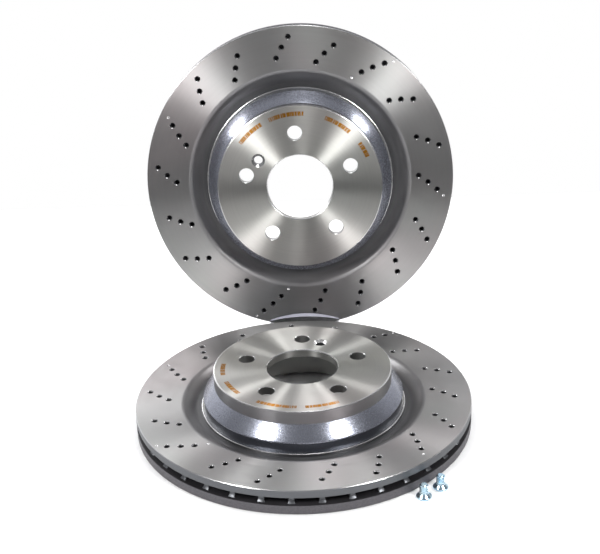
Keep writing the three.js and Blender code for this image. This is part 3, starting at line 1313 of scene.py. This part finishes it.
@dataclass
class SecuringScrew:
    """A countersunk screw that stands on its head."""

    node: str
    centre: tuple[float, float]
    head_radius: float = 6.9
    head_edge: float = 1.5
    shank_radius: float = 4
    length: float = 13
    facets: int = 48
    pitch: float = 1.25
    flank: float = 0.44
    thread_depth: float = 0.55
    thread_start: float = 1.1
    thread_end: float = 0.8
    thread_run_out: float = 0.6
    thread_sunk: float = 0.15
    crest: float = 0.1
    tip_chamfer: float = 0.9
    socket_radius: float = 2.45
    socket_lobe: float = 0.42
    socket_depth: float = 2.6

    @property
    def cone_top(self) -> float:
        """The height where the countersunk cone meets the shank."""
        return self.head_edge + self.head_radius - self.shank_radius

    def shaft(self) -> bmesh.types.BMesh:
        """Turns the head and the core of the shank.

        Returns:
            The mesh, with the flat of the head at zero.
        """
        mesh = bmesh.new()
        core = self.shank_radius - self.thread_depth
        corners = [
            (0, 0),
            (self.head_radius, 0),
            (self.head_radius, self.head_edge),
            (self.shank_radius, self.cone_top),
            (self.shank_radius, self.cone_top + 0.6),
            (core, self.cone_top + 1),
            (core, self.length - self.tip_chamfer),
            (core - self.tip_chamfer, self.length),
            (0, self.length),
        ]
        turn_outline(mesh, [Station(r, z, Zone.TRACK) for r, z in corners], self.facets, closed=False)
        round_ring(mesh, self.head_radius, 0, 0.45, 3)
        round_ring(mesh, self.head_radius, self.head_edge, 0.3, 3)
        round_ring(mesh, self.shank_radius, self.cone_top, 0.4, 3)
        return mesh

    def thread(self, mesh: bmesh.types.BMesh) -> None:
        """Adds the thread's ridge, spun up round the shank.

        Args:
            mesh: the screw's mesh.
        """
        base = self.cone_top + self.thread_start
        turns = (self.length - self.thread_end - base) / self.pitch - self.thread_run_out
        root = self.shank_radius - self.thread_depth - self.thread_sunk
        half = self.pitch * self.flank
        crest = [(self.shank_radius, -self.crest), (self.shank_radius, self.crest)]
        section = [(root, -half), *crest, (root, half)]
        corners = [mesh.verts.new((r, 0, base + half + z)) for r, z in section]
        start = mesh.faces.new(corners)
        steps = round(turns * 32)
        rise = Vector((0, 0, self.pitch * turns / steps))
        before = set(mesh.faces)
        axle = {"axis": (0, 0, 1), "cent": (0, 0, 0), "dvec": rise}
        bmesh.ops.spin(mesh, geom=[start], angle=2 * math.pi * turns, steps=steps, use_duplicate=False, **axle)
        made = [f for f in mesh.faces if f not in before] + [start]
        bmesh.ops.recalc_face_normals(mesh, faces=[f for f in made if f.is_valid])

    def socket(self) -> bmesh.types.BMesh:
        """Makes the six-lobed star that is cut into the head.

        Returns:
            The tool's mesh.
        """
        mesh = bmesh.new()
        radius, segments = self.socket_radius, self.facets
        ring = bmesh.ops.create_circle(mesh, cap_ends=True, radius=radius, segments=segments)["verts"]
        for vert in ring:
            angle = math.atan2(vert.co.y, vert.co.x)
            vert.co *= 1 + self.socket_lobe / self.socket_radius * math.cos(6 * angle)
        bmesh.ops.translate(mesh, verts=mesh.verts, vec=(0, 0, -1))
        out = bmesh.ops.extrude_face_region(mesh, geom=list(mesh.faces))["geom"]
        top = [v for v in out if isinstance(v, bmesh.types.BMVert)]
        bmesh.ops.translate(mesh, verts=top, vec=(0, 0, self.socket_depth + 1))
        bmesh.ops.recalc_face_normals(mesh, faces=mesh.faces)
        return mesh

    def build(self) -> None:
        """Models the screw, dresses it and puts it in its place."""
        plate = BlueZinc("blue_zinc", (0.64, 0.82, 0.91, 1), 0.2).dress(self.node)
        screw = as_object(self.shaft(), f"{self.node}_plated", [plate])
        carve(screw, as_object(self.socket(), f"{self.node}_socket", [plate]))
        mesh = bmesh.new()
        mesh.from_mesh(screw.data)
        self.thread(mesh)
        mesh.to_mesh(screw.data)
        mesh.free()
        move = Matrix.Translation(Vector((*self.centre, 0)) * MM) @ Matrix.Scale(MM, 4)
        finish_piece(screw, move, self.node, crease=28)


# ---------------------------------------------------------------- studio


@dataclass(frozen=True)
class Softbox:
    """A rectangular studio light that faces a point."""

    name: str
    place: tuple[float, float, float]
    target: tuple[float, float, float]
    width: float
    height: float
    power: float

    def build(self) -> None:
        """Adds the light."""
        data = bpy.data.lights.new(self.name, "AREA")
        data.shape = "RECTANGLE"
        data.size = self.width
        data.size_y = self.height
        data.energy = self.power
        light = bpy.data.objects.new(self.name, data)
        light.location = self.place
        light.rotation_euler = (Vector(self.target) - Vector(self.place)).to_track_quat("-Z", "Y").to_euler()
        bpy.context.scene.collection.objects.link(light)


@dataclass
class Stand:
    """The low cradle behind the lying disc that holds the standing disc on edge, which isn't part of the set."""

    place: Placement
    half_width: float = 37
    foot_gap: float = 0.2
    lip_front: float = -2.6
    lip_rise: float = 4.3
    lip_slope: float = 2.6
    lip_base: float = 24
    bed_height: float = 13.2
    bed_front: float = 0.1
    bed_overhang: float = 6
    rest_share: float = 0.35
    rest_height: float = 46
    rest_thickness: float = 3
    rest_gap: float = 1.2
    steps: int = 24

    def arch(self, rise: float) -> list[Point]:
        """Draws a plate with an arched top.

        Args:
            rise: how far the arch's top is above its springing.

        Returns:
            The corners as (across, up), from one foot over the arch to the other.
        """
        across = [self.half_width * (2 * i / self.steps - 1) for i in range(self.steps + 1)]
        top = [(x, self.lip_base + rise * (1 - (x / self.half_width) ** 2)) for x in across]
        return [(-self.half_width, self.foot_gap), *top, (self.half_width, self.foot_gap)]

    def block(self, half_width: float, height: float) -> list[Point]:
        """Draws an oblong that stands on the floor.

        Args:
            half_width: half its width.
            height: the height of its top.

        Returns:
            The corners as (across, up).
        """
        foot, top = self.foot_gap, height
        return [(-half_width, foot), (-half_width, top), (half_width, top), (half_width, foot)]

    def plate(
        self, mesh: bmesh.types.BMesh, front: float, back: float, face: list[Point], back_face: list[Point]
    ) -> list[bmesh.types.BMVert]:
        """Adds a plate between two upright outlines of the same number of corners.

        Args:
            mesh: the mesh that the plate is added to.
            front: the front outline's distance back.
            back: the back outline's distance back.
            face: the front outline's corners.
            back_face: the back outline's corners.

        Returns:
            The plate's vertices.
        """
        made, edges = [], []
        for depth, corners in ((front, face), (back, back_face)):
            verts = [mesh.verts.new((x, depth, z)) for x, z in corners]
            mesh.faces.new(verts)
            made += verts
            edges += [mesh.edges.get((a, b)) for a, b in zip(verts, verts[1:] + verts[:1])]
        bmesh.ops.bridge_loops(mesh, edges=edges)
        return made

    def build(self) -> None:
        """Models the front lip, the bed and the back rest."""
        # A sawn edge scatters light like a smooth grey coat.
        edge = FlakeCoating("sawn_edge", (0.5, 0.5, 0.58, 1), 0.4, sparkle=0.02, relief=0.0, metallic=0.3)
        clear = ClearAcrylic("clear_acrylic", (0.96, 0.97, 0.98, 1), 0.03)
        mesh = bmesh.new()
        foot = self.place.turn() @ Vector((0, -BrakeDisc.radius, 0))
        front, up = self.place.centre[1] + foot.y, self.place.centre[2] + foot.z
        lean = math.tan(math.radians(90 - self.place.tilt))
        back = front + BrakeDisc.thickness + (self.lip_base - up) * lean
        low, high = self.arch(self.lip_rise), self.arch(self.lip_rise + self.lip_slope)
        self.plate(mesh, front + self.lip_front, front, low, high)
        bmesh.ops.recalc_face_normals(mesh, faces=mesh.faces)
        for face in mesh.faces:
            face.material_index = 1 if face.normal.z > 0.3 else 0
        bed = self.block(self.half_width, self.bed_height)
        self.plate(mesh, front + self.bed_front, back + self.bed_overhang, bed, bed)
        rest = self.block(self.half_width * self.rest_share, self.rest_height)
        for vert in self.plate(mesh, 0, self.rest_thickness, rest, rest):
            vert.co.y += back + self.rest_gap + (vert.co.z - self.lip_base) * lean
        bmesh.ops.recalc_face_normals(mesh, faces=mesh.faces)
        stand = as_object(mesh, "display_stand", [clear.dress("display"), edge.dress(self.place)])
        stand.data.transform(Matrix.Translation((self.place.centre[0] * MM, 0, 0)) @ Matrix.Scale(MM, 4))


@dataclass
class Studio:
    """The pale floor, the lights and the camera."""

    camera_place: tuple[float, float, float] = (12.91, -1034.43, 600.6)
    camera_pitch: float = 24.34
    camera_yaw: float = 0.752
    camera_roll: float = 1.978
    focal_length: float = 71.89
    sensor_width: float = 36
    floor_size: float = 550
    floor_drop: float = 0.4
    floor_glow: float = 0.5
    shadow_from: float = 150
    shadow_to: float = 200
    softboxes: tuple[Softbox, ...] = (
        Softbox("front_left_softbox", (-0.8, -0.84, 0.87), (0, 0.03, 0.1), 0.28, 0.32, 9),
        Softbox("front_right_softbox", (0.8, -0.84, 0.87), (0, 0.03, 0.1), 0.28, 0.32, 9),
        Softbox("side_left_softbox", (-0.9, 0.36, 0.8), (0, 0.1, 0.15), 0.2, 0.28, 2.6),
        Softbox("side_right_softbox", (0.9, 0.36, 0.8), (0, 0.1, 0.15), 0.18, 0.26, 2),
        Softbox("top_softbox", (0.12, -0.1, 1.45), (0, 0.05, 0.1), 0.45, 0.5, 5),
        Softbox("low_left_softbox", (-0.6, 1, 0.42), (-0.15, 0, 0.02), 0.75, 0.26, 2.1),
    )

    def floor_material(self) -> bpy.types.Material:
        """Makes the floor's paint, which glows a little for the camera away from the lying disc and not near it,
        so that round and under that disc it is left darker as painted shadow.

        Returns:
            The material, clear from beneath.
        """
        pale = bpy.data.materials.new("pale_floor")
        pale.use_nodes = True
        graph = Graph(pale.node_tree)
        coordinate = graph.node("TexCoord").outputs["Object"]
        colour = graph.blend(graph.noise(coordinate, 6), (0.93, 0.93, 0.93, 1), (0.95, 0.95, 0.95, 1))
        paint = graph.node("BsdfPrincipled", {"Base Color": colour, "Roughness": 0.6})
        seen = graph.node("LightPath").outputs["Is Camera Ray"]
        from_disc = graph.vector("SUBTRACT", coordinate, tuple(middle_of("lying_disc") * MM))
        shadow = {"Inner": self.shadow_from, "Outer": self.shadow_to}
        beyond = RadialFade().place(graph, Position=from_disc, **shadow).outputs["Mask"]
        glow = graph.node("Emission", {"Strength": graph.product(seen, beyond, self.floor_glow)})
        lit = graph.node("AddShader", {0: paint.outputs[0], 1: glow.outputs[0]})
        beneath = graph.node("NewGeometry").outputs["Backfacing"]
        clear = graph.node("BsdfTransparent")
        surface = graph.node("MixShader", {0: beneath, 1: lit.outputs[0], 2: clear.outputs[0]})
        graph.node("OutputMaterial", {"Surface": surface.outputs[0]})
        return pale

    def floor(self) -> None:
        """Adds the floor as a flat sheet just under the discs."""
        mesh = bmesh.new()
        bmesh.ops.create_grid(mesh, x_segments=4, y_segments=4, size=self.floor_size)
        sheet = as_object(mesh, "floor", [self.floor_material()])
        sheet.data.transform(Matrix.Scale(MM, 4) @ Matrix.Translation((0, 0, -self.floor_drop)))

    def world(self) -> None:
        """Makes the surroundings: white past the floor, and a dim room in reflections."""
        world = bpy.data.worlds.new("studio")
        world.use_nodes = True
        graph = Graph(world.node_tree)
        direction = graph.node("TexCoord").outputs["Generated"]
        split = graph.node("SeparateXYZ", {0: direction})
        upward = graph.span(split.outputs["Z"], 0.75, 1.05, -0.2, 0.3)
        behind = graph.span(split.outputs["Y"], 0.22, 1.1, 0.05, 0.85)
        leftward = graph.span(split.outputs["X"], 1.3, 0.85, -0.7, 0.7)
        level = graph.product(upward, behind, leftward)
        room = graph.node("CombineColor", {0: level, 1: level, 2: graph.product(level, 1.03)})
        seen = graph.node("LightPath").outputs["Is Camera Ray"]
        colour = graph.blend(seen, room.outputs[0], (1, 1, 1, 1))
        shader = graph.node("Background", {"Color": colour, "Strength": 1})
        graph.node("OutputWorld", {"Surface": shader.outputs[0]})
        bpy.context.scene.world = world

    def camera(self) -> None:
        """Adds the camera at the front, above the discs."""
        data = bpy.data.cameras.new("camera")
        data.lens = self.focal_length
        data.sensor_width = self.sensor_width
        data.sensor_fit = "HORIZONTAL"
        data.clip_start = 0.05
        camera = bpy.data.objects.new("camera", data)
        turn = (
            Matrix.Rotation(math.radians(self.camera_yaw), 4, "Z")
            @ Matrix.Rotation(math.radians(-self.camera_pitch), 4, "X")
            @ Matrix.Rotation(math.radians(self.camera_roll), 4, "Y")
            @ Matrix.Rotation(math.pi / 2, 4, "X")
        )
        camera.matrix_world = Matrix.Translation(Vector(self.camera_place) * MM) @ turn
        bpy.context.scene.collection.objects.link(camera)
        bpy.context.scene.camera = camera

    def build(self) -> None:
        """Sets up the whole studio."""
        self.floor()
        self.world()
        for softbox in self.softboxes:
            softbox.build()
        self.camera()
        bpy.context.scene.view_settings.view_transform = "Standard"
        bpy.context.scene.view_settings.look = "None"
        bpy.context.scene.view_settings.exposure = 0
        LOG.info("studio: %d softboxes", len(self.softboxes))


# ---------------------------------------------------------------- the set


def middle_of(node: str) -> Vector:
    """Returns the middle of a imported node's box, in millimetres."""
    low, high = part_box(node)
    return (Vector(low) + Vector(high)) / 2 / MM


@dataclass
class DiscSet:
    """The two discs and the two screws, in the order in which they are laid out."""

    lean: float = 7.4
    foot_rise: float = 16.8
    side_step: float = 2
    rim_gap: float = 4

    def placements(self) -> list[Placement]:
        """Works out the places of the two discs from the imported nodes.

        Returns:
            The lying disc's place, then the standing disc's.
        """
        radius = BrakeDisc.radius
        middle = middle_of("lying_disc")
        tilt = math.radians(self.lean)
        back = radius + self.rim_gap + radius * math.sin(tilt)
        up = self.foot_rise + radius * math.cos(tilt)
        lying = Placement(
            name="lower_disc",
            node="lying_disc",
            centre=(middle.x, middle.y, BrakeDisc.thickness),
            tilt=0,
            spin=90,
            drilling=214.6,
            etching=((173, 190), (200, 220), (237, 266), (271.5, 295.5)),
        )
        standing = Placement(
            name="upper_disc",
            node="standing_disc",
            centre=(middle.x + self.side_step, middle.y + back, up),
            tilt=90 - self.lean,
            spin=165.9,
            drilling=53,
            etching=((119.5, 142), (85.5, 113), (47, 69), (23, 35.5)),
        )
        return [lying, standing]

    def build(self) -> None:
        """Builds every piece."""
        places = self.placements()
        for place in places:
            BrakeDisc(place).build()
        Stand(places[-1]).build()
        for node in ("securing_screw_1", "securing_screw_2"):
            middle = middle_of(node)
            SecuringScrew(node, (middle.x, middle.y)).build()


def main() -> None:
    """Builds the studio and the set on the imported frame."""
    logging.basicConfig(level=logging.INFO, format="%(message)s")
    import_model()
    Studio().build()
    DiscSet().build()


if __name__ == "__main__":
    main()
